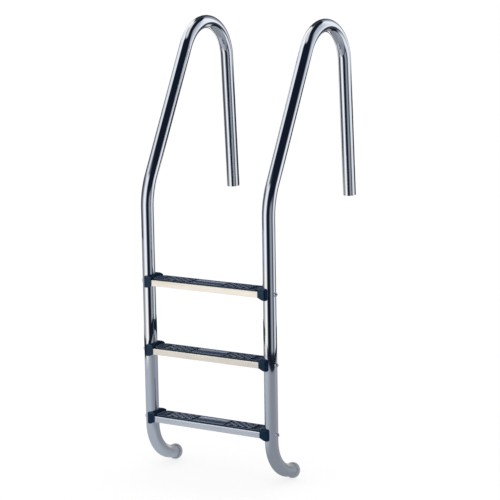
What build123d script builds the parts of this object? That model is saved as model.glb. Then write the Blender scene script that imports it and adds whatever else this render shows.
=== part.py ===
"""Fixed swimming pool ladder: two bent tube rails and three bolted treads.

Frame: X across the ladder, Y from the water towards the deck, Z up.  The origin is midway between
the cut ends of the two deck legs, where the legs drop into their deck anchors.  Millimetres.
"""

from build123d import *
import os
from math import cos, radians, sin, sqrt

os.makedirs("parts", exist_ok=True)

# ---------------------------------------------------------------- driving dimensions
# rails: one tube each, bent in a plane of constant X
TUBE_DIAMETER = 48.3
TUBE_WALL = 1.65
RAIL_SPACING = 508.0
LEG_LENGTH = 500.0
LEG_SPLAY = 3.5
ARCH_RADIUS = 150.0
SLOPE_LENGTH = 508.0
SLOPE_ANGLE = 28.7
KNEE_RADIUS = 240.0
UPRIGHT_LENGTH = 798.0
FOOT_RADIUS = 142.0
FOOT_TURN = 75.0
TOE_LENGTH = 28.0

# treads: heights are measured at the top face of the folded channel
TREAD_NAMES = ("bottom", "middle", "top")
TREAD_SPACING = 254.0
BOTTOM_TREAD_ABOVE_BEND = 34.0
CHANNEL_HALF_LENGTH = 223.5
CHANNEL_FRONT = 32.0
CHANNEL_DEPTH = 80.0
CHANNEL_HEIGHT = 22.0
CHANNEL_SHEET = 1.5
CHANNEL_BEND = 3.0

# anti-slip cover, clipped to the channel by barbed pegs
COVER_INSET_FRONT = 4.0
COVER_INSET_REAR = 2.0
COVER_END_GAP = 0.5
COVER_CORNER = 15.0
COVER_HEIGHT = 5.0
COVER_CHAMFER = 1.0
COVER_FIELD = 3.0
COVER_RIM = 5.0
STUD_LENGTH = 25.0
STUD_WIDTH = 17.5
STUD_PITCH_X = 30.0
STUD_PITCH_Y = 21.0
STUD_COLUMNS = 4
STUD_ROWS = 3
STUD_TAPER = 25.0
STUD_ZONE_CENTRE = 127.0
PEG_RADIUS = 2.6
PEG_HOLE_RADIUS = 3.0
PEG_BARB_RADIUS = 3.8
PEG_BARB_LENGTH = 4.0
PEG_SPAN_X = 180.0
PEG_SPAN_Y = 46.0

# blank inlay plate in the middle of each cover
INLAY_LENGTH = 124.0
INLAY_WIDTH = 50.0
INLAY_THICKNESS = 2.0
INLAY_CORNER = 5.0
INLAY_GAP = 0.25
INLAY_GROOVE = 1.2

# moulded end caps between the channel and the tube; distances inboard are from the tube's axis
CAP_SHELL = 1.5
CAP_PAST_TUBE_AXIS = 6.0
CAP_NOSE_CORNER = 13.0
CAP_NOSE_HEIGHT = 7.0
CAP_REAR_INBOARD = 10.0
CAP_REAR_REACH = 9.0
CAP_REAR_CORNER = 5.0
CAP_REAR_CORNER_INBOARD = 17.0
CAP_COLLAR_HEIGHT = 20.0
CAP_COLLAR_ENDS = 7.0
CAP_COLLAR_OUTER = 8.0
CAP_COLLAR_INNER = 26.5
CAP_DROP = 31.5
CAP_FLOOR_INBOARD = 14.0
CAP_FLOOR_RISE = 1.5
CAP_TOE_CUT = 5.0
CAP_COVER_LAP = 0.5
CAP_ROUNDING = 3.0
CAP_TUBE_GAP = 0.15
PLUG_LENGTH = 34.0
PLUG_GAP = 0.3
PLUG_WALL = 3.0
PLUG_BOSS = 22.0

# tread fixings: one M8 button-head bolt, saddle washer and captive nut at each tread end
BOLT_BELOW_TREAD = 11.0
BOLT_RADIUS = 4.0
BOLT_HOLE_RADIUS = 4.5
BOLT_CHAMFER = 1.0
BOLT_HEAD_RADIUS = 7.0
BOLT_HEAD_HEIGHT = 4.4
BOLT_CROWN_RADIUS = 3.75
BOLT_SHOULDER_RADIUS = 5.05
BOLT_SHOULDER_HEIGHT = 3.3
BOLT_SOCKET_FLATS = 5.0
BOLT_SOCKET_DEPTH = 2.6
BOLT_TIP_PAST_NUT = 3.0
WASHER_RADIUS = 9.0
WASHER_THICKNESS = 2.0
WASHER_CHAMFER = 0.8
NUT_FLATS = 13.0
NUT_HEIGHT = 6.5
NUT_FROM_SHOULDER = 16.0
NUT_GAP = 0.15
THREAD_GAP = 0.05

# wall bumpers plugged into the toe of each rail
BUMPER_RADIUS = 28.5
BUMPER_THICKNESS = 19.0
BUMPER_NECK_RADIUS = 21.0
BUMPER_NECK_LENGTH = 3.0
BUMPER_EDGE = 7.0
BUMPER_PLUG_LENGTH = 36.0
BUMPER_RIB_GAP = 0.1
BUMPER_RIB_DEPTH = 1.0
BUMPER_RIB_COUNT = 4

# ---------------------------------------------------------------- sizes that follow from them
TUBE_RADIUS = TUBE_DIAMETER / 2
BORE_RADIUS = TUBE_RADIUS - TUBE_WALL
RAIL_X = RAIL_SPACING / 2
SIDES = {"left": -1, "right": 1}


def save(piece, name):
    """Label one finished piece and write it as its own file."""
    piece.part.label = name
    export_step(piece.part, f"parts/{name}.step")


def step(point, heading, length):
    """The point that lies length further along heading, in degrees, in the YZ plane."""
    y, z = point
    return y + length * cos(radians(heading)), z + length * sin(radians(heading))


def bend(point, heading, radius, turn):
    """The end of an arc that turns left by turn degrees from heading."""
    centre = step(point, heading + 90, radius)
    return step(centre, heading - 90 + turn, radius)


# corners of the rail's centre line, from the deck leg's cut end over the arch to the toe
LEG_HEADING = 90 + LEG_SPLAY
SLOPE_HEADING = 270 - SLOPE_ANGLE
TOE_HEADING = 270 + FOOT_TURN
LEG_END = (0.0, 0.0)
LEG_TOP = step(LEG_END, LEG_HEADING, LEG_LENGTH)
SLOPE_TOP = bend(LEG_TOP, LEG_HEADING, ARCH_RADIUS, SLOPE_HEADING - LEG_HEADING)
SLOPE_FOOT = step(SLOPE_TOP, SLOPE_HEADING, SLOPE_LENGTH)
UPRIGHT_TOP = bend(SLOPE_FOOT, SLOPE_HEADING, KNEE_RADIUS, SLOPE_ANGLE)
UPRIGHT_FOOT = step(UPRIGHT_TOP, 270, UPRIGHT_LENGTH)
TOE_START = bend(UPRIGHT_FOOT, 270, FOOT_RADIUS, FOOT_TURN)
TOE_END = step(TOE_START, TOE_HEADING, TOE_LENGTH)

UPRIGHT_Y = UPRIGHT_FOOT[0]
BOTTOM_TREAD_Z = UPRIGHT_FOOT[1] + BOTTOM_TREAD_ABOVE_BEND
TREAD_Z = {name: BOTTOM_TREAD_Z + i * TREAD_SPACING for i, name in enumerate(TREAD_NAMES)}
BOLT_Z = [z - BOLT_BELOW_TREAD for z in TREAD_Z.values()]
TREAD_FRONT_Y = UPRIGHT_Y - CHANNEL_FRONT
TREAD_MID_Y = TREAD_FRONT_Y + CHANNEL_DEPTH / 2
COVER_FRONT_Y = TREAD_FRONT_Y + COVER_INSET_FRONT
COVER_DEPTH = CHANNEL_DEPTH - COVER_INSET_FRONT - COVER_INSET_REAR
COVER_MID_Y = COVER_FRONT_Y + COVER_DEPTH / 2
COVER_LENGTH = 2 * (CHANNEL_HALF_LENGTH - COVER_END_GAP)
PEG_GRID = (PEG_SPAN_X, PEG_SPAN_Y, 3, 2)


# ---------------------------------------------------------------- rails
def rail(side):
    """One bent tube with a clearance hole through both walls at each tread."""
    x = SIDES[side] * RAIL_X
    plane = Plane(origin=(x, 0, 0), x_dir=(0, 1, 0), z_dir=(1, 0, 0))
    with BuildPart() as tube:
        with BuildLine(plane):
            Line(LEG_END, LEG_TOP)
            RadiusArc(LEG_TOP, SLOPE_TOP, -ARCH_RADIUS)
            Line(SLOPE_TOP, SLOPE_FOOT)
            RadiusArc(SLOPE_FOOT, UPRIGHT_TOP, -KNEE_RADIUS)
            Line(UPRIGHT_TOP, UPRIGHT_FOOT)
            RadiusArc(UPRIGHT_FOOT, TOE_START, -FOOT_RADIUS)
            Line(TOE_START, TOE_END)
        leg_direction = (0, cos(radians(LEG_HEADING)), sin(radians(LEG_HEADING)))
        with BuildSketch(Plane(origin=(x, 0, 0), x_dir=(1, 0, 0), z_dir=leg_direction)):
            Circle(TUBE_RADIUS)
            Circle(BORE_RADIUS, mode=Mode.SUBTRACT)
        sweep()
        with Locations([(x, UPRIGHT_Y, z) for z in BOLT_Z]):
            Cylinder(BOLT_HOLE_RADIUS, 2 * TUBE_DIAMETER, rotation=(0, 90, 0), mode=Mode.SUBTRACT)
    save(tube, f"{side}_rail")


# ---------------------------------------------------------------- treads
def channel(name):
    """Folded sheet tread: a web with a front and a rear flange, open underneath."""
    z = TREAD_Z[name]
    with BuildPart() as folded:
        with BuildSketch(Plane.YZ.offset(-CHANNEL_HALF_LENGTH)) as section:
            with Locations((TREAD_MID_Y, z - CHANNEL_HEIGHT / 2)):
                Rectangle(CHANNEL_DEPTH, CHANNEL_HEIGHT)
            fillet(section.vertices().group_by(Axis.Y)[-1], CHANNEL_BEND)
            inner_depth = CHANNEL_DEPTH - 2 * CHANNEL_SHEET
            inner_height = CHANNEL_HEIGHT - CHANNEL_SHEET
            with BuildSketch(Plane.YZ.offset(-CHANNEL_HALF_LENGTH), mode=Mode.SUBTRACT) as hollow:
                with Locations((TREAD_MID_Y, z - CHANNEL_HEIGHT + inner_height / 2)):
                    Rectangle(inner_depth, inner_height)
                fillet(hollow.vertices().group_by(Axis.Y)[-1], CHANNEL_BEND - CHANNEL_SHEET)
        extrude(amount=2 * CHANNEL_HALF_LENGTH)
        with BuildSketch(Plane.XY.offset(z)):
            with Locations((0, COVER_MID_Y)), GridLocations(*PEG_GRID):
                Circle(PEG_HOLE_RADIUS)
        extrude(amount=-2 * CHANNEL_SHEET, mode=Mode.SUBTRACT)
    save(folded, f"{name}_tread_channel")


def cover(name):
    """Anti-slip cover: raised rim and diamond studs, a pocket for the inlay, pegs underneath."""
    z = TREAD_Z[name]
    with BuildPart() as moulding:
        with BuildSketch(Plane.XY.offset(z)):
            with Locations((0, COVER_MID_Y)):
                RectangleRounded(COVER_LENGTH, COVER_DEPTH, COVER_CORNER)
        extrude(amount=COVER_HEIGHT)
        chamfer(moulding.edges().group_by(Axis.Z)[-1], COVER_CHAMFER)
        with BuildSketch(Plane.XY.offset(z + COVER_HEIGHT)):
            for centre_x in (-STUD_ZONE_CENTRE, STUD_ZONE_CENTRE):
                with Locations((centre_x, COVER_MID_Y)):
                    zone_length = STUD_PITCH_X * STUD_COLUMNS + COVER_RIM
                    RectangleRounded(zone_length, COVER_DEPTH - 2 * COVER_RIM, COVER_RIM)
        extrude(amount=COVER_FIELD - COVER_HEIGHT, mode=Mode.SUBTRACT)
        with BuildSketch(Plane.XY.offset(z + COVER_HEIGHT)):
            with Locations((0, COVER_MID_Y)):
                pocket = (INLAY_LENGTH + 2 * INLAY_GAP, INLAY_WIDTH + 2 * INLAY_GAP)
                RectangleRounded(*pocket, INLAY_CORNER + INLAY_GAP)
        extrude(amount=-INLAY_THICKNESS, mode=Mode.SUBTRACT)
        with BuildSketch(Plane.XY.offset(z + COVER_FIELD)):
            for centre_x in (-STUD_ZONE_CENTRE, STUD_ZONE_CENTRE):
                with Locations((centre_x, COVER_MID_Y)):
                    with GridLocations(STUD_PITCH_X, STUD_PITCH_Y, STUD_COLUMNS, STUD_ROWS):
                        stud()
                    inner = (STUD_COLUMNS - 1, STUD_ROWS - 1)
                    with GridLocations(STUD_PITCH_X, STUD_PITCH_Y, *inner):
                        stud()
        extrude(amount=COVER_HEIGHT - COVER_FIELD, taper=STUD_TAPER)
        with BuildSketch(Plane.XY.offset(z)):
            with Locations((0, COVER_MID_Y)), GridLocations(*PEG_GRID):
                Circle(PEG_RADIUS)
        extrude(amount=-CHANNEL_SHEET)
        with Locations((0, COVER_MID_Y, z - CHANNEL_SHEET - PEG_BARB_LENGTH / 2)):
            with GridLocations(*PEG_GRID):
                Cone(PEG_RADIUS / 2, PEG_BARB_RADIUS, PEG_BARB_LENGTH)
    save(moulding, f"{name}_tread_cover")


def stud():
    """The diamond outline of one anti-slip stud."""
    corners = [(-STUD_LENGTH / 2, 0), (0, -STUD_WIDTH / 2), (STUD_LENGTH / 2, 0), (0, STUD_WIDTH / 2)]
    Polygon(*corners)


def inlay(name):
    """Blank plate that snaps into the middle of the cover, with one long groove."""
    top = TREAD_Z[name] + COVER_HEIGHT
    with BuildPart() as plate:
        with BuildSketch(Plane.XY.offset(top)):
            with Locations((0, COVER_MID_Y)):
                RectangleRounded(INLAY_LENGTH, INLAY_WIDTH, INLAY_CORNER)
        extrude(amount=-INLAY_THICKNESS)
        groove_length = INLAY_LENGTH - 4 * INLAY_CORNER
        with BuildSketch(Plane.XY.offset(top)):
            with Locations((0, COVER_MID_Y)):
                SlotOverall(groove_length, 4 * INLAY_GROOVE)
        extrude(amount=-INLAY_GROOVE, taper=45, mode=Mode.SUBTRACT)
    save(plate, f"{name}_tread_inlay")


def is_sharp(edge, faces):
    """True where an edge's two faces meet at an angle, not at the smooth end of a rounding."""
    middle = edge @ 0.5
    normals = [face.normal_at(middle) for face in faces if edge in face.edges()]
    return normals[0].dot(normals[1]) < 0.99


def end_cap(name, side):
    """Moulded cap: a saddle round the tube's inner half, and a plug inside the channel's end."""
    sign = SIDES[side]
    z = TREAD_Z[name]
    shoulder = sign * CHANNEL_HALF_LENGTH
    outer = sign * (RAIL_X + CAP_PAST_TUBE_AXIS)
    rear_lip = sign * (RAIL_X - CAP_REAR_INBOARD)
    rear_corner = sign * (RAIL_X - CAP_REAR_CORNER_INBOARD)
    collar_outer = sign * (RAIL_X - CAP_COLLAR_OUTER)
    front_y = TREAD_FRONT_Y - CAP_SHELL
    rear_y = TREAD_FRONT_Y + CHANNEL_DEPTH + CAP_SHELL
    collar = z + CAP_COLLAR_HEIGHT
    collar_end = z + CAP_COLLAR_ENDS
    floor = z - CAP_DROP
    with BuildPart() as cap:
        with BuildSketch(Plane.XY.offset(floor)) as plan:
            with BuildLine():
                Polyline(
                    (shoulder, front_y),
                    (outer, front_y),
                    (outer, UPRIGHT_Y - CAP_REAR_INBOARD),
                    (rear_lip, UPRIGHT_Y + CAP_REAR_INBOARD),
                    (rear_lip, UPRIGHT_Y + TUBE_RADIUS + CAP_REAR_REACH),
                    (rear_corner, rear_y - CAP_REAR_CORNER),
                    (shoulder, rear_y),
                    close=True,
                )
            make_face()
            fillet(plan.vertices().sort_by_distance((outer, front_y))[0], CAP_NOSE_CORNER)
        extrude(amount=CAP_DROP + CAP_COLLAR_HEIGHT)
        with BuildSketch(Plane.XZ.offset(-rear_y)):
            with BuildLine():
                Polyline(
                    (shoulder, z - CHANNEL_HEIGHT),
                    (sign * (RAIL_X - CAP_FLOOR_INBOARD), floor + CAP_FLOOR_RISE),
                    (outer - sign * CAP_TOE_CUT, floor),
                    (outer, floor + CAP_TOE_CUT),
                    (outer, z + CAP_NOSE_HEIGHT),
                    (collar_outer, collar),
                    (sign * (RAIL_X - CAP_COLLAR_INNER), collar),
                    (shoulder, z + COVER_HEIGHT + CAP_COVER_LAP),
                    close=True,
                )
            make_face()
        extrude(amount=rear_y - front_y, mode=Mode.INTERSECT)
        with BuildSketch(Plane.YZ.offset(min(shoulder, outer))):
            with BuildLine():
                ThreePointArc((front_y, collar_end), ((front_y + rear_y) / 2, collar), (rear_y, collar_end))
                Polyline((rear_y, collar_end), (rear_y, floor), (front_y, floor), (front_y, collar_end))
            make_face()
        extrude(amount=abs(outer - shoulder), mode=Mode.INTERSECT)
        outside = cap.edges().filter_by(lambda e: abs(e.center().X) > CHANNEL_HALF_LENGTH + 0.1)
        fillet(outside.filter_by(lambda e: is_sharp(e, cap.faces())), CAP_ROUNDING)
        inner_front = TREAD_FRONT_Y + CHANNEL_SHEET + PLUG_GAP
        inner_rear = TREAD_FRONT_Y + CHANNEL_DEPTH - CHANNEL_SHEET - PLUG_GAP
        plug_height = CHANNEL_HEIGHT - CHANNEL_SHEET - 2 * PLUG_GAP
        plug_z = z - CHANNEL_SHEET - PLUG_GAP - plug_height / 2
        with BuildSketch(Plane.YZ.offset(shoulder)) as plug:
            with Locations(((inner_front + inner_rear) / 2, plug_z)):
                Rectangle(inner_rear - inner_front, plug_height)
            fillet(plug.vertices().group_by(Axis.Y)[-1], CHANNEL_BEND)
        extrude(amount=-sign * PLUG_LENGTH)
        boss_front = UPRIGHT_Y - PLUG_BOSS / 2
        boss_rear = UPRIGHT_Y + PLUG_BOSS / 2
        for low, high in ((inner_front, boss_front), (boss_rear, inner_rear)):
            pocket_depth = high - low - 2 * PLUG_WALL
            with Locations((shoulder - sign * PLUG_LENGTH / 2, (low + high) / 2, plug_z - PLUG_WALL)):
                Box(PLUG_LENGTH - 2 * PLUG_WALL, pocket_depth, plug_height, mode=Mode.SUBTRACT)
        with Locations((sign * RAIL_X, UPRIGHT_Y, z)):
            Cylinder(TUBE_RADIUS + CAP_TUBE_GAP, 4 * CAP_DROP, mode=Mode.SUBTRACT)
        bolt_z = z - BOLT_BELOW_TREAD
        with Locations((shoulder, UPRIGHT_Y, bolt_z)):
            Cylinder(BOLT_HOLE_RADIUS, 4 * PLUG_LENGTH, rotation=(0, 90, 0), mode=Mode.SUBTRACT)
        slot_width = NUT_FLATS + 2 * NUT_GAP
        slot_top = bolt_z + slot_width / sqrt(3)
        nut_x = shoulder - sign * (NUT_FROM_SHOULDER + NUT_HEIGHT / 2)
        with Locations((nut_x, UPRIGHT_Y, (slot_top + floor) / 2)):
            Box(NUT_HEIGHT + 2 * NUT_GAP, slot_width, slot_top - floor, mode=Mode.SUBTRACT)
    save(cap, f"{name}_tread_{side}_cap")


# ---------------------------------------------------------------- fasteners
WASHER_FACE = RAIL_X + TUBE_RADIUS + WASHER_THICKNESS
NUT_INNER_FACE = CHANNEL_HALF_LENGTH - NUT_FROM_SHOULDER - NUT_HEIGHT
FIXINGS = [(sign, z) for z in BOLT_Z for sign in SIDES.values()]


def outward_plane(sign, distance, z):
    """A plane across one bolt's axis, at a distance from the ladder's middle, facing outwards."""
    return Plane(origin=(sign * distance, UPRIGHT_Y, z), x_dir=(0, 1, 0), z_dir=(sign, 0, 0))


def tread_bolts():
    """Six button-head bolts, from the outside of each rail to the captive nut in the cap."""
    tip = NUT_INNER_FACE - BOLT_TIP_PAST_NUT
    head_top = WASHER_FACE + BOLT_HEAD_HEIGHT
    with BuildPart() as bolts:
        for sign, z in FIXINGS:
            with BuildSketch(Plane(origin=(0, UPRIGHT_Y, z), x_dir=(1, 0, 0), z_dir=(0, -1, 0))):
                with BuildLine():
                    Polyline(
                        (sign * tip, 0),
                        (sign * tip, BOLT_RADIUS - BOLT_CHAMFER),
                        (sign * (tip + BOLT_CHAMFER), BOLT_RADIUS),
                        (sign * WASHER_FACE, BOLT_RADIUS),
                        (sign * WASHER_FACE, BOLT_HEAD_RADIUS),
                    )
                    ThreePointArc(
                        (sign * WASHER_FACE, BOLT_HEAD_RADIUS),
                        (sign * (WASHER_FACE + BOLT_SHOULDER_HEIGHT), BOLT_SHOULDER_RADIUS),
                        (sign * head_top, BOLT_CROWN_RADIUS),
                    )
                    Polyline(
                        (sign * head_top, BOLT_CROWN_RADIUS),
                        (sign * head_top, 0),
                        (sign * tip, 0),
                    )
                make_face()
            revolve(axis=Axis((0, UPRIGHT_Y, z), (1, 0, 0)))
            with BuildSketch(outward_plane(sign, head_top, z)):
                RegularPolygon(BOLT_SOCKET_FLATS / 2, 6, major_radius=False)
            extrude(amount=-BOLT_SOCKET_DEPTH, mode=Mode.SUBTRACT)
    save(bolts, "tread_bolts")


def saddle_washers():
    """Six round washers, each hollowed underneath to sit on the tube."""
    with BuildPart() as washers:
        for sign, z in FIXINGS:
            with BuildSketch(outward_plane(sign, RAIL_X, z)):
                Circle(WASHER_RADIUS)
                Circle(BOLT_HOLE_RADIUS, mode=Mode.SUBTRACT)
            extrude(amount=TUBE_RADIUS + WASHER_THICKNESS)
        chamfer(washers.edges().filter_by(washer_rim), WASHER_CHAMFER)
        with Locations([(sign * RAIL_X, UPRIGHT_Y, TREAD_Z["middle"]) for sign in SIDES.values()]):
            Cylinder(TUBE_RADIUS, 3 * TREAD_SPACING, mode=Mode.SUBTRACT)
    save(washers, "saddle_washers")


def washer_rim(edge):
    """True for the outer circle on a washer's outward face."""
    outward = abs(abs(edge.center().X) - WASHER_FACE) < 0.01
    return outward and edge.geom_type == GeomType.CIRCLE and abs(edge.radius - WASHER_RADIUS) < 0.01


def captive_nuts():
    """Six hexagon nuts held in the slots of the end caps."""
    with BuildPart() as nuts:
        for sign, z in FIXINGS:
            with BuildSketch(outward_plane(sign, NUT_INNER_FACE, z)):
                RegularPolygon(NUT_FLATS / 2, 6, major_radius=False, rotation=30)
                Circle(BOLT_RADIUS + THREAD_GAP, mode=Mode.SUBTRACT)
            extrude(amount=NUT_HEIGHT)
    save(nuts, "captive_nuts")


# ---------------------------------------------------------------- wall bumpers
def head_rim(edge):
    """True for the two outer circles of a bumper's head."""
    return edge.geom_type == GeomType.CIRCLE and abs(edge.radius - BUMPER_RADIUS) < 0.01


def bumper(side):
    """Moulded bumper: a ribbed plug in the tube's toe, a short neck and a rounded disc head."""
    direction = (0, cos(radians(TOE_HEADING)), sin(radians(TOE_HEADING)))
    toe = Plane(origin=(SIDES[side] * RAIL_X, *TOE_END), x_dir=direction, z_dir=(1, 0, 0))
    plug_radius = BORE_RADIUS - BUMPER_RIB_GAP - BUMPER_RIB_DEPTH
    rib_pitch = BUMPER_PLUG_LENGTH / (BUMPER_RIB_COUNT + 1)
    with BuildPart() as moulding:
        with BuildSketch(toe):
            with Locations((-BUMPER_PLUG_LENGTH / 2, plug_radius / 2)):
                Rectangle(BUMPER_PLUG_LENGTH, plug_radius)
            for i in range(BUMPER_RIB_COUNT):
                with Locations((-(i + 1) * rib_pitch, (plug_radius + BUMPER_RIB_DEPTH) / 2)):
                    Rectangle(BUMPER_RIB_DEPTH * 2, plug_radius + BUMPER_RIB_DEPTH)
            with Locations((BUMPER_NECK_LENGTH / 2, BUMPER_NECK_RADIUS / 2)):
                Rectangle(BUMPER_NECK_LENGTH, BUMPER_NECK_RADIUS)
        revolve(axis=Axis(toe.origin, toe.x_dir))
        with BuildSketch(Plane(origin=toe.from_local_coords((BUMPER_NECK_LENGTH, 0, 0)), z_dir=direction)):
            Circle(BUMPER_RADIUS)
        extrude(amount=BUMPER_THICKNESS)
        fillet(moulding.edges().filter_by(head_rim), BUMPER_EDGE)
    save(moulding, f"{side}_bumper")


for side in SIDES:
    rail(side)
    bumper(side)
for tread in TREAD_NAMES:
    channel(tread)
    cover(tread)
    inlay(tread)
    for side in SIDES:
        end_cap(tread, side)
tread_bolts()
saddle_washers()
captive_nuts()
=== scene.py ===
"""Looks for the pool ladder.

Polished tube rails, satin metal treads with moulded covers and end caps, and rubber wall bumpers.
Lengths are in metres, in the frame of the CAD, and angles in degrees unless radians() is named.
"""

from math import copysign, cos, pi, radians, sin

import bpy
from mathutils import Matrix, Vector


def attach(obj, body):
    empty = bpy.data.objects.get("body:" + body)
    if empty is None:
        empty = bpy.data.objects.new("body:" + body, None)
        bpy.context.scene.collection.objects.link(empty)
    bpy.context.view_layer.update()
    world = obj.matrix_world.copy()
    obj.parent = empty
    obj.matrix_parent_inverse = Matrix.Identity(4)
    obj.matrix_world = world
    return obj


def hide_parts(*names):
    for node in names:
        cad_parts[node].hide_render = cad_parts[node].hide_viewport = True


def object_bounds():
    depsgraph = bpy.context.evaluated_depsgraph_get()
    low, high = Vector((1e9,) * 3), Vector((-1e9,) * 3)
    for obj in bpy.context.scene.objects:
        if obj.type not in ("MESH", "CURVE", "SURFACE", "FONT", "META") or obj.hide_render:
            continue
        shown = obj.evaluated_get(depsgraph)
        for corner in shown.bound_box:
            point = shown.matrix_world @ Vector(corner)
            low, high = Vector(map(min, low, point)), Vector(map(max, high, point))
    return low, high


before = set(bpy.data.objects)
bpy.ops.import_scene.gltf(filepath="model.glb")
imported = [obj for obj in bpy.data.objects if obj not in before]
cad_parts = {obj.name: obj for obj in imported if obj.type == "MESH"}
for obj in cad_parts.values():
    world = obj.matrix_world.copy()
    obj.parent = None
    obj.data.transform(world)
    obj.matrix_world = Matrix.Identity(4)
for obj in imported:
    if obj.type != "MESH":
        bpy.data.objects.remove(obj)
cad_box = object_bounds()
scene = bpy.context.scene

# ------------------------------------------------------------------ camera
CAMERA_AZIMUTH = radians(31.585)
CAMERA_PITCH = radians(10.832)
CAMERA_ROLL = radians(-0.916)
CAMERA_PLACE = Vector((3.8699, -6.5921, 1.2334))
CAMERA_LENS = 147.57
CAMERA_SENSOR = 36.0

camera = bpy.data.objects.new("camera", bpy.data.cameras.new("camera"))
scene.collection.objects.link(camera)
camera.data.lens = CAMERA_LENS
camera.data.sensor_width = CAMERA_SENSOR
camera.data.clip_end = 100.0
forward = Vector((-sin(CAMERA_AZIMUTH), cos(CAMERA_AZIMUTH), 0)) * cos(CAMERA_PITCH)
forward.z = -sin(CAMERA_PITCH)
level = Vector((cos(CAMERA_AZIMUTH), sin(CAMERA_AZIMUTH), 0))
upward = level.cross(forward)
right = level * cos(CAMERA_ROLL) + upward * sin(CAMERA_ROLL)
top = upward * cos(CAMERA_ROLL) - level * sin(CAMERA_ROLL)
camera.matrix_world = Matrix(
    ((right.x, top.x, -forward.x, CAMERA_PLACE.x),
     (right.y, top.y, -forward.y, CAMERA_PLACE.y),
     (right.z, top.z, -forward.z, CAMERA_PLACE.z),
     (0, 0, 0, 1))
)
scene.camera = camera

# ------------------------------------------------------------------ rail sizes
TUBE_RADIUS = 0.02405  # a tenth of a millimetre inside the CAD's tube
BORE_RADIUS = 0.0225
RAIL_X = 0.254
LEG_LENGTH = 0.5
LEG_LEAN = 3.5
ARCH_RADIUS = 0.15
SLOPE_LENGTH = 0.508
SLOPE_ANGLE = 28.7
KNEE_RADIUS = 0.24
UPRIGHT_LENGTH = 0.798
FOOT_RADIUS = 0.142
FOOT_TURN = 75.0
TOE_LENGTH = 0.028
TUBE_SIDES = 96


# ------------------------------------------------------------------ mesh helpers
def piece(name, solid, material, replaces=(), sharp=radians(35)):
    """One closed mesh piece on the ladder's only body."""
    mesh = bpy.data.meshes.new(name)
    mesh.from_pydata(solid[0], [], solid[1])
    mesh.validate()
    mesh.shade_smooth()
    mesh.set_sharp_from_angle(angle=sharp)
    mesh.materials.append(material)
    obj = bpy.data.objects.new(name, mesh)
    scene.collection.objects.link(obj)
    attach(obj, "root")
    if replaces:
        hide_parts(*replaces)


def loft(loops, ring=False):
    """Skin over loops of equal count.

    It's closed by a face at each end, or runs as a ring from the last loop to the first.
    """
    count = len(loops[0])
    vertices = [point for loop in loops for point in loop]
    faces = []
    for i in range(len(loops) if ring else len(loops) - 1):
        here, there = i * count, (i + 1) % len(loops) * count
        for k in range(count):
            n = (k + 1) % count
            faces.append((here + k, here + n, there + n, there + k))
    if not ring:
        faces.append(tuple(reversed(range(count))))
        faces.append(tuple(range(len(vertices) - count, len(vertices))))
    return vertices, faces


def join(solids):
    """Several closed skins as one mesh."""
    vertices, faces = [], []
    for points, polygons in solids:
        start = len(vertices)
        vertices += points
        faces += [tuple(start + i for i in polygon) for polygon in polygons]
    return vertices, faces


def rounded(centre, half_x, half_y, corner, inset, z, steps=8):
    """A level rounded rectangle, drawn in by the inset."""
    radius = max(corner - inset, 0.0003)
    points = []
    for quarter, (side_x, side_y) in enumerate(((1, 1), (-1, 1), (-1, -1), (1, -1))):
        x = centre[0] + side_x * (half_x - inset - radius)
        y = centre[1] + side_y * (half_y - inset - radius)
        for i in range(steps + 1):
            a = radians(90 * (quarter + i / steps))
            points.append((x + radius * cos(a), y + radius * sin(a), z))
    return points


def oval(centre, half_x, half_y, z, count, power=2.0):
    """A level oval. A power near 1 makes it a diamond with softened corners."""
    points = []
    for i in range(count):
        a = 2 * pi * (i + 0.5) / count
        x = copysign(abs(cos(a)) ** (2 / power), cos(a))
        y = copysign(abs(sin(a)) ** (2 / power), sin(a))
        points.append((centre[0] + half_x * x, centre[1] + half_y * y, z))
    return points


def blend(first, second, share, z):
    """The loop that lies the given share of the way from the first loop to the second."""
    return [(p[0] + (q[0] - p[0]) * share, p[1] + (q[1] - p[1]) * share, z)
            for p, q in zip(first, second)]


def extent(node):
    """The lowest and highest corner of a node's box in the frame."""
    corners = [node.matrix_world @ Vector(corner) for corner in node.bound_box]
    return [Vector([pick(c[axis] for c in corners) for axis in range(3)]) for pick in (min, max)]


# ------------------------------------------------------------------ materials
DULL_FROM = -0.86  # heights between which the tubes' polish is lost
DULL_TO = -0.93
DULL_ROUGHNESS = 0.48
PLASTIC_TINT = (0.35, 0.65, 1.0, 1)
NOISE_LOW, NOISE_HIGH = 0.3, 0.7  # where nearly all of a noise pattern lies


def principled(material):
    """The inputs of the material's Principled shader."""
    return material.node_tree.nodes["Principled BSDF"].inputs


def shader(name, metallic=0.0, base=None):
    """A new material. Patterns are linked to the inputs that aren't set here."""
    material = bpy.data.materials.new(name)
    material.use_nodes = True
    principled(material)["Metallic"].default_value = metallic
    if base:
        principled(material)["Base Color"].default_value = (*base, 1)
    return material


def grain(material, scale, stretch=(1, 1, 1), detail=4.0):
    """A noise pattern fixed to the object, per metre along each axis."""
    new, link = material.node_tree.nodes.new, material.node_tree.links.new
    place, mapping, noise = new("ShaderNodeTexCoord"), new("ShaderNodeMapping"), new("ShaderNodeTexNoise")
    mapping.inputs["Scale"].default_value = stretch
    noise.inputs["Scale"].default_value = scale
    noise.inputs["Detail"].default_value = detail
    link(place.outputs["Object"], mapping.inputs["Vector"])
    link(mapping.outputs[0], noise.inputs["Vector"])
    return noise.outputs["Fac"]


def spread(material, value, start, end, low, high):
    """The value, with start to end mapped to low to high."""
    node = material.node_tree.nodes.new("ShaderNodeMapRange")
    node.inputs["From Min"].default_value, node.inputs["From Max"].default_value = start, end
    node.inputs["To Min"].default_value, node.inputs["To Max"].default_value = low, high
    material.node_tree.links.new(value, node.inputs["Value"])
    return node.outputs[0]


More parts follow.
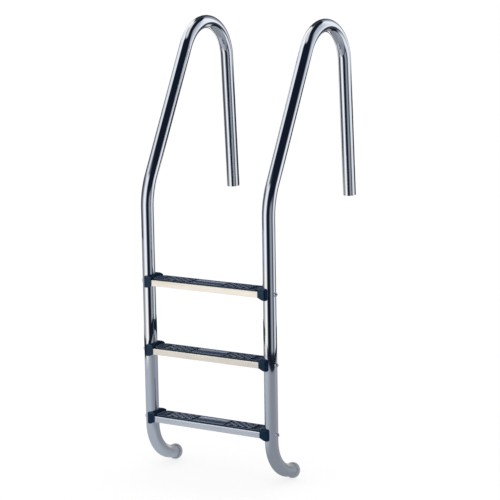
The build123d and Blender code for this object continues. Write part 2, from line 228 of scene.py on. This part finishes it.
def combine(material, operation, first, second):
    """The result of a Math node."""
    node = material.node_tree.nodes.new("ShaderNodeMath")
    node.operation = operation
    material.node_tree.links.new(first, node.inputs[0])
    material.node_tree.links.new(second, node.inputs[1])
    return node.outputs[0]


def height(material, space):
    """Height in metres with "Object", or from 0 to 1 up the piece's own box with "Generated"."""
    new, link = material.node_tree.nodes.new, material.node_tree.links.new
    place, split = new("ShaderNodeTexCoord"), new("ShaderNodeSeparateXYZ")
    link(place.outputs[space], split.inputs[0])
    return split.outputs["Z"]


def vary_roughness(material, pattern, low, high):
    """Roughness that follows a pattern."""
    roughness = spread(material, pattern, NOISE_LOW, NOISE_HIGH, low, high)
    material.node_tree.links.new(roughness, principled(material)["Roughness"])
    return roughness


def vary_colour(material, pattern, low, high):
    """Colour that follows a pattern."""
    new, link = material.node_tree.nodes.new, material.node_tree.links.new
    ramp = new("ShaderNodeValToRGB")
    first, last = ramp.color_ramp.elements
    first.position, last.position = 0.35, 0.65
    first.color, last.color = (*low, 1), (*high, 1)
    link(pattern, ramp.inputs["Fac"])
    link(ramp.outputs["Color"], principled(material)["Base Color"])


def paint_light_by_height(material, low, high, start, end):
    """Painted light and shade by height: colour from low in the grooves to high on the raised faces, with
    slight patches.
    """
    new, link = material.node_tree.nodes.new, material.node_tree.links.new
    raised = spread(material, height(material, "Generated"), start, end, 0.0, 1.0)
    patches = spread(material, grain(material, 60.0), NOISE_LOW, NOISE_HIGH, 0.8, 1.0)
    mix = new("ShaderNodeMix")
    mix.data_type = "RGBA"
    mix.inputs["A"].default_value, mix.inputs["B"].default_value = (*low, 1), (*high, 1)
    link(combine(material, "MULTIPLY", raised, patches), mix.inputs["Factor"])
    link(mix.outputs["Result"], principled(material)["Base Color"])


def add_bump(material, pattern, strength, distance):
    """Fine relief, too small for the mesh."""
    new, link = material.node_tree.nodes.new, material.node_tree.links.new
    bump = new("ShaderNodeBump")
    bump.inputs["Strength"].default_value = strength
    bump.inputs["Distance"].default_value = distance
    link(pattern, bump.inputs["Height"])
    link(bump.outputs[0], principled(material)["Normal"])


def polished_tube():
    """Mirror polish, dulled by the water towards the foot."""
    material = shader("polished_tube", 1.0, (0.80, 0.81, 0.83))
    polish = vary_roughness(material, grain(material, 1.0, (14, 9, 5)), 0.02, 0.06)
    dulling = spread(material, height(material, "Object"), DULL_FROM, DULL_TO, 0.0, DULL_ROUGHNESS)
    dulled = combine(material, "ADD", dulling, polish)
    material.node_tree.links.new(dulled, principled(material)["Roughness"])
    add_bump(material, grain(material, 1.0, (30, 12, 12), 2.0), 0.05, 0.0006)
    return material


def satin_sheet(name, low, high):
    """Long brushed scratches along the tread."""
    material = shader(name, 1.0)
    scratches = grain(material, 1.0, (7, 900, 900))
    vary_roughness(material, scratches, 0.22, 0.36)
    add_bump(material, scratches, 0.12, 0.0001)
    vary_colour(material, grain(material, 1.0, (9, 60, 60)), low, high)
    return material


def turned_steel():
    """Bolts, washers and nuts."""
    material = shader("turned_steel", 1.0, (0.84, 0.85, 0.87))
    vary_roughness(material, grain(material, 500.0), 0.30, 0.42)
    return material


def moulded_plastic(name, smooth, rough):
    """Plastic with a fine spark-eroded grain and slight patches of sheen, before its colour is linked."""
    material = shader(name)
    principled(material)["Specular Tint"].default_value = PLASTIC_TINT
    vary_roughness(material, grain(material, 120.0), smooth, rough)
    add_bump(material, grain(material, 1500.0, detail=2.0), 0.10, 0.0001)
    return material


def plastic_with_painted_light(name, smooth, rough, low, high, start, end):
    """Plastic with painted light and shade, its colour changing between two shares of its piece's height.
    """
    material = moulded_plastic(name, smooth, rough)
    paint_light_by_height(material, low, high, start, end)
    return material


def patchy_plastic(name, smooth, rough, low, high):
    """Plastic of one colour, with slight patches."""
    material = moulded_plastic(name, smooth, rough)
    vary_colour(material, grain(material, 60.0), low, high)
    return material


def grey_rubber():
    """Wall bumpers."""
    material = shader("grey_rubber")
    vary_colour(material, grain(material, 80.0), (0.24, 0.27, 0.32), (0.30, 0.33, 0.38))
    vary_roughness(material, grain(material, 200.0), 0.5, 0.75)
    add_bump(material, grain(material, 900.0), 0.25, 0.0002)
    return material


chrome = polished_tube()
# painted reflection: the channels' steel is tinted cream, as if mirroring a warm light, and the bottom
# channel gets a cooler grey copy, as if mirroring the grey ground
satin_painted_warm_reflection = satin_sheet("satin_sheet", (0.88, 0.80, 0.69), (0.94, 0.86, 0.75))
satin_painted_cool_reflection = satin_sheet("low_satin_sheet", (0.80, 0.81, 0.82), (0.86, 0.87, 0.88))
steel = turned_steel()
# painted highlight and shade: the tops of the studs, rim and pocket frame are painted light like a glint,
# and the grooves between them dark like shade
cover_plastic = plastic_with_painted_light(
    "cover_plastic", 0.22, 0.32, (0.002, 0.008, 0.024), (0.19, 0.24, 0.33), 0.975, 0.997)
# painted reflection: the dish of each end pad is painted a lighter blue, as if catching light, and its rim
# dark
pad_plastic = plastic_with_painted_light(
    "pad_plastic", 0.45, 0.55, (0.020, 0.048, 0.095), (0.002, 0.006, 0.022), 0.45, 0.95)
# painted reflection: the rear strip's top is painted light grey like a glint, and the sheet round it dark
# like shade in the groove
plate_plastic = plastic_with_painted_light(
    "plate_plastic", 0.16, 0.24, (0.004, 0.012, 0.030), (0.30, 0.33, 0.42), 0.7, 0.95)
grip_plastic = patchy_plastic("grip_plastic", 0.50, 0.62, (0.016, 0.034, 0.085), (0.022, 0.044, 0.105))
cap_plastic = patchy_plastic("cap_plastic", 0.12, 0.20, (0.002, 0.007, 0.021), (0.004, 0.012, 0.030))
rubber = grey_rubber()


# ------------------------------------------------------------------ rails
def route():
    """(y, z, heading) along the rail's centre line, from the deck leg's cut end to the toe."""
    rows = []
    y, z, heading = 0.0, 0.0, 90 + LEG_LEAN

    def run(length, count):
        nonlocal y, z
        step_y, step_z = length * cos(radians(heading)), length * sin(radians(heading))
        for i in range(count):
            rows.append((y + step_y * i / count, z + step_z * i / count, heading))
        y, z = y + step_y, z + step_z

    def turn(radius, angle, count):
        nonlocal y, z, heading
        cy, cz = y + radius * cos(radians(heading + 90)), z + radius * sin(radians(heading + 90))
        for i in range(count):
            a = heading - 90 + angle * i / count
            rows.append((cy + radius * cos(radians(a)), cz + radius * sin(radians(a)), a + 90))
        heading += angle
        a = heading - 90
        y, z = cy + radius * cos(radians(a)), cz + radius * sin(radians(a))

    slope = 270 - SLOPE_ANGLE
    run(LEG_LENGTH, 10)
    turn(ARCH_RADIUS, slope - heading, 110)
    run(SLOPE_LENGTH, 10)
    turn(KNEE_RADIUS, SLOPE_ANGLE, 40)
    run(UPRIGHT_LENGTH, 16)
    turn(FOOT_RADIUS, FOOT_TURN, 60)
    run(TOE_LENGTH, 2)
    rows.append((y, z, heading))
    return rows


def rail(side, x):
    """A thick-walled bent tube, closed by a ring of faces at each cut end."""
    rows = route()
    vertices, faces = [], []
    for radius in (TUBE_RADIUS, BORE_RADIUS):
        for y, z, heading in rows:
            centre = Vector((x, y, z))
            out = Vector((0, cos(radians(heading - 90)), sin(radians(heading - 90))))
            for k in range(TUBE_SIDES):
                a = 2 * pi * k / TUBE_SIDES
                vertices.append(centre + out * (radius * cos(a)) + Vector((1, 0, 0)) * (radius * sin(a)))
    inner = len(rows) * TUBE_SIDES
    for i in range(len(rows) - 1):
        for k in range(TUBE_SIDES):
            a, b = i * TUBE_SIDES + k, i * TUBE_SIDES + (k + 1) % TUBE_SIDES
            faces.append((a, a + TUBE_SIDES, b + TUBE_SIDES, b))
            faces.append((inner + a, inner + b, inner + b + TUBE_SIDES, inner + a + TUBE_SIDES))
    last = (len(rows) - 1) * TUBE_SIDES
    for k in range(TUBE_SIDES):
        n = (k + 1) % TUBE_SIDES
        faces.append((k, n, inner + n, inner + k))
        faces.append((last + n, last + k, inner + last + k, inner + last + n))
    piece(f"{side}_handrail", (vertices, faces), chrome, [f"{side}_rail"])


rail("left", -RAIL_X)
rail("right", RAIL_X)


# ------------------------------------------------------------------ tread covers and plates
COVER_HEIGHT = 0.005
COVER_FIELD = 0.003
COVER_CORNER = 0.015
COVER_RIM = 0.0045
LAND_HALF_LENGTH = 0.0645
POCKET_HALF_LENGTH = 0.06225
POCKET_HALF_WIDTH = 0.02525
INLAY_CORNER = 0.005
STUD_ZONE_CENTRE = 0.127
STUD_ZONE_END = 0.1895
STUD_HALF_LENGTH = 0.0125
STUD_HALF_WIDTH = 0.00875
STUD_PITCH_X = 0.030
STUD_PITCH_Y = 0.021
STUD_SIDES = 28
STUD_POWER = 1.12
STUD_DRAW = 1.4  # how much faster the long diagonal shrinks than the short one
CROWN = 0.0002
PAD_CORNER = 0.010
DISH_INSET = 0.0022
DISH_DEPTH = 0.0019
DISH_BOTTOM = (0.0004, 0.0008)
PEG_PITCH_X = 0.180
PEG_PITCH_Y = 0.046
PEG_SIDES = 24
PLATE_DROP = 0.0010  # from the strips' tops to the plate's sheet
STRIP_CORNER = 0.004
STRIP_END_GAP = 0.0012
REAR_STRIP = (0.0140, 0.0098)  # offset towards the rear, half width
FRONT_STRIP = (-0.0122, 0.0116)
SUNK = 0.0002  # how far raised parts reach down into what carries them
EDGE_ROUNDING = 0.0014
EDGE_STEPS = 4
RIM_PROFILE = ((0.0034, 0.0), (0.0042, 0.0003), (0.0052, 0.0017), (0.006, COVER_HEIGHT - COVER_FIELD))
PEG_PROFILE = ((0.0026, 0.0005), (0.0026, -0.0015), (0.0038, -0.0016), (0.0013, -0.0055))


def grid(centre_x, centre_y, pitch_x, pitch_y, columns, rows):
    """Centres of a level grid."""
    return [(centre_x + (i - (columns - 1) / 2) * pitch_x, centre_y + (j - (rows - 1) / 2) * pitch_y)
            for i in range(columns) for j in range(rows)]


def cover_sheet(centre, half_x, half_y, base, top):
    """The cover's sheet: rounded outer edge, raised rim, and the level field inside it."""
    loops = [rounded(centre, half_x, half_y, COVER_CORNER, 0, base)]
    for step in range(EDGE_STEPS + 1):
        a = radians(90 * step / EDGE_STEPS)
        inset, drop = EDGE_ROUNDING * (1 - cos(a)), EDGE_ROUNDING * (1 - sin(a))
        loops.append(rounded(centre, half_x, half_y, COVER_CORNER, inset, top - drop))
    for inset, drop in RIM_PROFILE:
        loops.append(rounded(centre, half_x, half_y, COVER_CORNER, inset, top - drop))
    return loft(loops)


def land(centre, half_y, field, top):
    """The raised frame round the inlay's pocket."""
    loops = []
    for inset, z in ((0, field - SUNK), (0, top - 0.0006), (0.0006, top)):
        loops.append(rounded(centre, LAND_HALF_LENGTH, half_y - COVER_RIM, INLAY_CORNER, inset, z))
    for inset, z in ((-0.0003, top), (0, top - 0.0003), (0, field - SUNK)):
        loops.append(rounded(centre, POCKET_HALF_LENGTH, POCKET_HALF_WIDTH, INLAY_CORNER, inset, z))
    return loft(loops, ring=True)


def end_pad(centre, half_x, half_y, field, top):
    """The smooth end of a cover, dished like a thumb rest."""
    edge = rounded(centre, half_x, half_y, PAD_CORNER, DISH_INSET, top)
    loops = [rounded(centre, half_x, half_y, PAD_CORNER, inset, z)
             for inset, z in ((0, field - SUNK), (0, top - 0.0007), (0.0007, top))]
    loops.append(edge)
    for share in (0.15, 0.3, 0.45, 0.6, 0.75, 0.9):
        middle = oval(centre, *DISH_BOTTOM, top, len(edge))
        loops.append(blend(edge, middle, share, top - DISH_DEPTH * sin(share * pi / 2)))
    return loft(loops)


def stud(centre, field, top):
    """One anti-slip diamond with softened edges and a slight crown."""
    levels = ((0, field - SUNK), (0.0002, top - 0.0011), (0.0007, top - 0.0004), (0.0014, top - CROWN),
              (0.0046, top))
    return loft([oval(centre, STUD_HALF_LENGTH - STUD_DRAW * inset, STUD_HALF_WIDTH - inset, z,
                      STUD_SIDES, STUD_POWER) for inset, z in levels])


def peg(centre, base):
    """A snap peg under the cover, with a barb."""
    return loft([oval(centre, radius, radius, base + z, PEG_SIDES) for radius, z in PEG_PROFILE])


def tread_cover(tread):
    """The cover with its studs, rim, pocket frame and pegs, and its two end pads."""
    low, high = extent(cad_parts[f"{tread}_tread_cover"])
    middle, half_x, half_y = (low.y + high.y) / 2, (high.x - low.x) / 2, (high.y - low.y) / 2
    top, base, field = high.z, high.z - COVER_HEIGHT, high.z - COVER_HEIGHT + COVER_FIELD
    solids = [cover_sheet((0, middle), half_x, half_y, base, top), land((0, middle), half_y, field, top)]
    pads = []
    pad_length = half_x - COVER_RIM - STUD_ZONE_END
    for side in (-1, 1):
        zone = (side * STUD_ZONE_CENTRE, middle, STUD_PITCH_X, STUD_PITCH_Y)
        solids += [stud(centre, field, top) for centre in grid(*zone, 4, 3) + grid(*zone, 3, 2)]
        pad = (side * (STUD_ZONE_END + pad_length / 2), middle)
        pads.append(end_pad(pad, pad_length / 2, half_y - COVER_RIM, field, top))
    solids += [peg(centre, base) for centre in grid(0, middle, PEG_PITCH_X, PEG_PITCH_Y, 3, 2)]
    cover = join(solids)
    piece(f"{tread}_anti_slip_cover", cover, cover_plastic, [f"{tread}_tread_cover"])
    piece(f"{tread}_cover_end_pads", join(pads), pad_plastic)


def strip(middle, half_x, place, low, top):
    """A raised strip on the plate. Its place is the offset towards the rear and the half width."""
    return loft([rounded((0, middle + place[0]), half_x - STRIP_END_GAP, place[1], STRIP_CORNER, inset, z)
                 for inset, z in ((0, low), (0, top - 0.0006), (0.0002, top - 0.0002), (0.0007, top))])


def tread_plate(tread):
    """The blank plate: a glossy rear strip whose top is painted light as a reflection, and a matt front
    strip, with a groove between them.
    """
    low, high = extent(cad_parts[f"{tread}_tread_inlay"])
    middle, half_x, half_y = (low.y + high.y) / 2, (high.x - low.x) / 2, (high.y - low.y) / 2
    sheet = high.z - PLATE_DROP
    body = loft([rounded((0, middle), half_x, half_y, INLAY_CORNER, inset, z)
                 for inset, z in ((0, low.z), (0, sheet - 0.0002), (0.0002, sheet))])
    whole = join([body, strip(middle, half_x, REAR_STRIP, sheet - SUNK, high.z)])
    piece(f"{tread}_inlay_plate", whole, plate_plastic, [f"{tread}_tread_inlay"])
    front = strip(middle, half_x, FRONT_STRIP, sheet - SUNK, high.z)
    piece(f"{tread}_inlay_grip", front, grip_plastic)


for tread in ("bottom", "middle", "top"):
    tread_cover(tread)
    tread_plate(tread)


# ------------------------------------------------------------------ the CAD's own nodes that stay
FINISHES = {"channel": satin_painted_warm_reflection, "cap": cap_plastic, "bumper": rubber}
for name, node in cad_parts.items():
    # the bottom channel takes the cooler copy of the satin: painted reflection, not a different steel
    finish = satin_painted_cool_reflection if name == "bottom_tread_channel" else FINISHES.get(name.split("_")[-1], steel)
    for i in range(len(node.data.materials)):
        node.data.materials[i] = finish

# ------------------------------------------------------------------ stage
FLOOR_Z = cad_box[0][2]
FLOOR_REACH = 40
SHEET_Z = FLOOR_Z + 0.002
LEVEL = (FLOOR_Z + 0.004, FLOOR_Z + 0.004)  # the heights of a card that lies on the ground
FLOOR_GREY = 0.30
FLOOR_GLOW = 0.72
MIDDLE = Vector((0, -0.45, 0))
ROOM_RADIUS = 14
ROOM_HEIGHT = 12
ROOM_SIDES = 12
CARD_COLUMNS = 24
CARD_ROWS = 8
DISC_SIDES = 64
BLUE_GREY = (0.86, 0.94, 1.08)
WHITE = (1.0, 1.0, 0.99)
WARM = (1.01, 1.0, 0.97)
COOL = (0.95, 1.0, 1.07)


def staged(name, vertices, faces, material, only_gloss=False):
    """A floor, card or backdrop. Cards show only in reflections."""
    mesh = bpy.data.meshes.new(name)
    mesh.from_pydata(vertices, [], faces)
    mesh.materials.append(material)
    obj = bpy.data.objects.new(name, mesh)
    scene.collection.objects.link(obj)
    if only_gloss:
        obj.visible_camera = obj.visible_diffuse = obj.visible_shadow = False
        obj.visible_transmission = obj.visible_volume_scatter = False
    return obj


def glow(name, colour, levels, soft=(0.0, 0.0, 0.0, 0.0)):
    """Card light: bottom and top level, faded over a share of its left, right, bottom and top."""
    material = bpy.data.materials.new(name)
    material.use_nodes = True
    tree = material.node_tree
    tree.nodes.clear()
    new, link = tree.nodes.new, tree.links.new
    out, mix = new("ShaderNodeOutputMaterial"), new("ShaderNodeMixShader")
    clear, light = new("ShaderNodeBsdfTransparent"), new("ShaderNodeEmission")
    place, split = new("ShaderNodeTexCoord"), new("ShaderNodeSeparateXYZ")
    link(place.outputs["UV"], split.inputs[0])
    light.inputs["Color"].default_value = (*colour, 1)
    link(spread(material, split.outputs["Y"], 0.0, 1.0, *levels), light.inputs["Strength"])
    edges = (("X", 0.0, soft[0]), ("X", 1.0, 1 - soft[1]), ("Y", 0.0, soft[2]), ("Y", 1.0, 1 - soft[3]))
    mask = None
    for axis, start, end in edges:
        if start == end:
            continue
        fade = spread(material, split.outputs[axis], start, end, 0.0, 1.0)
        fade.node.interpolation_type = "SMOOTHSTEP"
        mask = combine(material, "MULTIPLY", mask, fade) if mask else fade
    mix.inputs[0].default_value = 1.0
    if mask:
        link(mask, mix.inputs[0])
    link(clear.outputs[0], mix.inputs[1])
    link(light.outputs[0], mix.inputs[2])
    link(mix.outputs[0], out.inputs["Surface"])
    return material


def around(azimuth, radius, z):
    """A point round the ladder's middle. Azimuth 0 is towards the camera, 90 to the right of it."""
    a = radians(azimuth)
    toward = Vector((sin(CAMERA_AZIMUTH), -cos(CAMERA_AZIMUTH), 0))
    side = Vector((cos(CAMERA_AZIMUTH), sin(CAMERA_AZIMUTH), 0))
    return MIDDLE + (toward * cos(a) + side * sin(a)) * radius + Vector((0, 0, z))


def set_uv(obj, uv):
    """UV by vertex."""
    layer = obj.data.uv_layers.new(name="UVMap")
    for loop in obj.data.loops:
        layer.data[loop.index].uv = uv[loop.vertex_index]


def both(value):
    """(bottom, top) from such a pair, or from one value for both."""
    return value if isinstance(value, tuple) else (value, value)


def card(name, left, right, heights, colour, levels, soft, reach):
    """A curved card. Azimuths, heights, light levels and reach from the middle go from bottom to top."""
    (left_low, left_high), (right_low, right_high) = both(left), both(right)
    (low, high), (near, far) = heights, both(reach)
    vertices, faces, uv = [], [], []
    for j in range(CARD_ROWS + 1):
        t = j / CARD_ROWS
        start, end = left_low + (left_high - left_low) * t, right_low + (right_high - right_low) * t
        radius, z = near + (far - near) * t, low + (high - low) * t
        for i in range(CARD_COLUMNS + 1):
            vertices.append(around(start + (end - start) * i / CARD_COLUMNS, radius, z))
            uv.append((i / CARD_COLUMNS, t))
    for j in range(CARD_ROWS):
        for i in range(CARD_COLUMNS):
            a = j * (CARD_COLUMNS + 1) + i
            faces.append((a, a + 1, a + CARD_COLUMNS + 2, a + CARD_COLUMNS + 1))
    set_uv(staged(name, vertices, faces, glow(name, colour, levels, soft), only_gloss=True), uv)


def disc(name, radius, z, material):
    """A round sheet on the ground. Its UV runs across it from left to right and from far to near."""
    turns = [2 * pi * i / DISC_SIDES for i in range(DISC_SIDES)]
    vertices = [around(0, 0, z)] + [around(360 * i / DISC_SIDES, radius, z) for i in range(DISC_SIDES)]
    faces = [(0, 1 + i, 1 + (i + 1) % DISC_SIDES) for i in range(DISC_SIDES)]
    uv = [(0.5, 0.5)] + [(0.5 + sin(a) / 2, 0.5 + cos(a) / 2) for a in turns]
    set_uv(staged(name, vertices, faces, material, only_gloss=True), uv)


floor_paint = shader("pale_floor", base=(FLOOR_GREY, FLOOR_GREY, FLOOR_GREY))
floor_look = principled(floor_paint)
floor_look["Roughness"].default_value = 1.0
floor_look["Specular IOR Level"].default_value = 0.0
floor_look["Emission Color"].default_value = (1, 1, 1, 1)
floor_look["Emission Strength"].default_value = FLOOR_GLOW
corners = [(x * FLOOR_REACH, y * FLOOR_REACH, FLOOR_Z) for x, y in ((-1, -1), (1, -1), (1, 1), (-1, 1))]
floor = staged("floor", corners, [(0, 1, 2, 3)], floor_paint)
floor.visible_glossy = False

# what the polished tubes see: a dim blue room and ground, a grey sheet, and cards of soft light and dark
turn = range(ROOM_SIDES)
foot, head = [[around(360 / ROOM_SIDES * i, ROOM_RADIUS, z) for i in turn] for z in (FLOOR_Z, ROOM_HEIGHT)]
walls = [(i, (i + 1) % ROOM_SIDES, ROOM_SIDES + (i + 1) % ROOM_SIDES, ROOM_SIDES + i) for i in turn]
lid = [(ROOM_SIDES + i, ROOM_SIDES + (i + 1) % ROOM_SIDES, 2 * ROOM_SIDES) for i in turn]
ground = [(i, (i + 1) % ROOM_SIDES, ROOM_SIDES) for i in turn]
staged("room", foot + head + [around(0, 0, ROOM_HEIGHT)], walls + lid,
       glow("room", (0.32, 0.48, 1.0), (0.026, 0.030)), only_gloss=True)
staged("dark_ground", foot + [around(0, 0, FLOOR_Z)], ground,
       glow("dark_ground", (0.35, 0.5, 1.0), (0.026, 0.026)), only_gloss=True)
disc("ground_sheet", 2.0, SHEET_Z, glow("ground_sheet", BLUE_GREY, (0.34, 0.31)))

card("ground_left", -150, 15, LEVEL, BLUE_GREY, (0.50, 0.56), (0.2, 0.45, 0.12, 0.0), (0.05, 1.99))
card("ground_right", 55, 125, LEVEL, BLUE_GREY, (0.34, 0.46), (0.4, 0.3, 0.2, 0.0), (0.1, 1.99))
card("key_skirt", -98, -42, LEVEL, WARM, (1.0, 1.0), (0.3, 0.3, 0.5, 0.0), (1.70, 2.25))
card("back_sweep_left", (-172, -168), -128, (SHEET_Z, 6.0), WHITE, (1.0, 1.15), (0.2, 0.3, 0.0, 0.0), 2.45)
card("back_low", 128, 200, (SHEET_Z, -0.30), WHITE, (0.85, 0.95), (0.25, 0.0, 0.0, 0.25), 2.45)
card("back_dark", 152, 197, (-0.45, 6.0), BLUE_GREY, (0.05, 0.05), (0.2, 0.2, 0.0, 0.0), 2.50)
card("back_dark_low", 102, 162, (-0.45, 0.15), BLUE_GREY, (0.06, 0.06), (0.1, 0.1, 0.0, 0.2), 2.50)
card("crest_grey", 124, 164, (0.05, 3.2), BLUE_GREY, (0.36, 0.36), (0.3, 0.2, 0.1, 0.2), 2.56)
card("crest_light", 100, 142, (0.10, 3.0), COOL, (1.05, 1.05), (0.2, 0.35, 0.12, 0.2), 2.54)
card("overhead", -200, 30, (3.3, 3.3), WHITE, (0.80, 0.80), (0.1, 0.25, 0.0, 0.35), (0.05, 1.7))
card("left_wall", -150, -60, (SHEET_Z, -0.5), BLUE_GREY, (0.42, 0.30), (0.1, 0.2, 0.0, 0.0), 2.40)
card("left_wall_dark", -146, -60, (-0.5, 0.9), BLUE_GREY, (0.10, 0.12), (0.1, 0.2, 0.0, 0.0), 2.40)
card("left_wall_middle", -150, -60, (0.9, 1.7), COOL, (0.14, 0.95), (0.1, 0.2, 0.0, 0.0), 2.40)
card("left_wall_top", -150, -60, (1.7, 4.5), COOL, (0.95, 1.2), (0.1, 0.2, 0.0, 0.0), 2.40)
card("key_low", (-100, -99), (-24, -22), (SHEET_Z, -0.62), WARM, (1.15, 1.10), (0.50, 0.32, 0.0, 0.0), 2.25)
card("key_high", (-99, -96), (-22, -12), (-0.62, 2.3), COOL, (1.10, 0.95), (0.50, 0.32, 0.0, 0.27), 2.25)
card("low_fill", (6, 10), (60, 62), (SHEET_Z, 0.60), BLUE_GREY, (0.44, 0.36), (0.45, 0.45, 0.0, 0.35), 2.35)
card("right_light", 58, 114, (SHEET_Z, 0.95), COOL, (0.80, 1.15), (0.40, 0.30, 0.0, 0.35), 2.25)
card("right_light_top", 64, 124, (0.4, 3.4), BLUE_GREY, (0.75, 0.45), (0.40, 0.35, 0.15, 0.2), 2.32)

# ------------------------------------------------------------------ white surroundings
world = bpy.data.worlds.new("studio")
scene.world = world
world.use_nodes = True
world.node_tree.nodes["Background"].inputs["Color"].default_value = (1, 1, 1, 1)
world.node_tree.nodes["Background"].inputs["Strength"].default_value = 1.0
scene.view_settings.view_transform = "Standard"
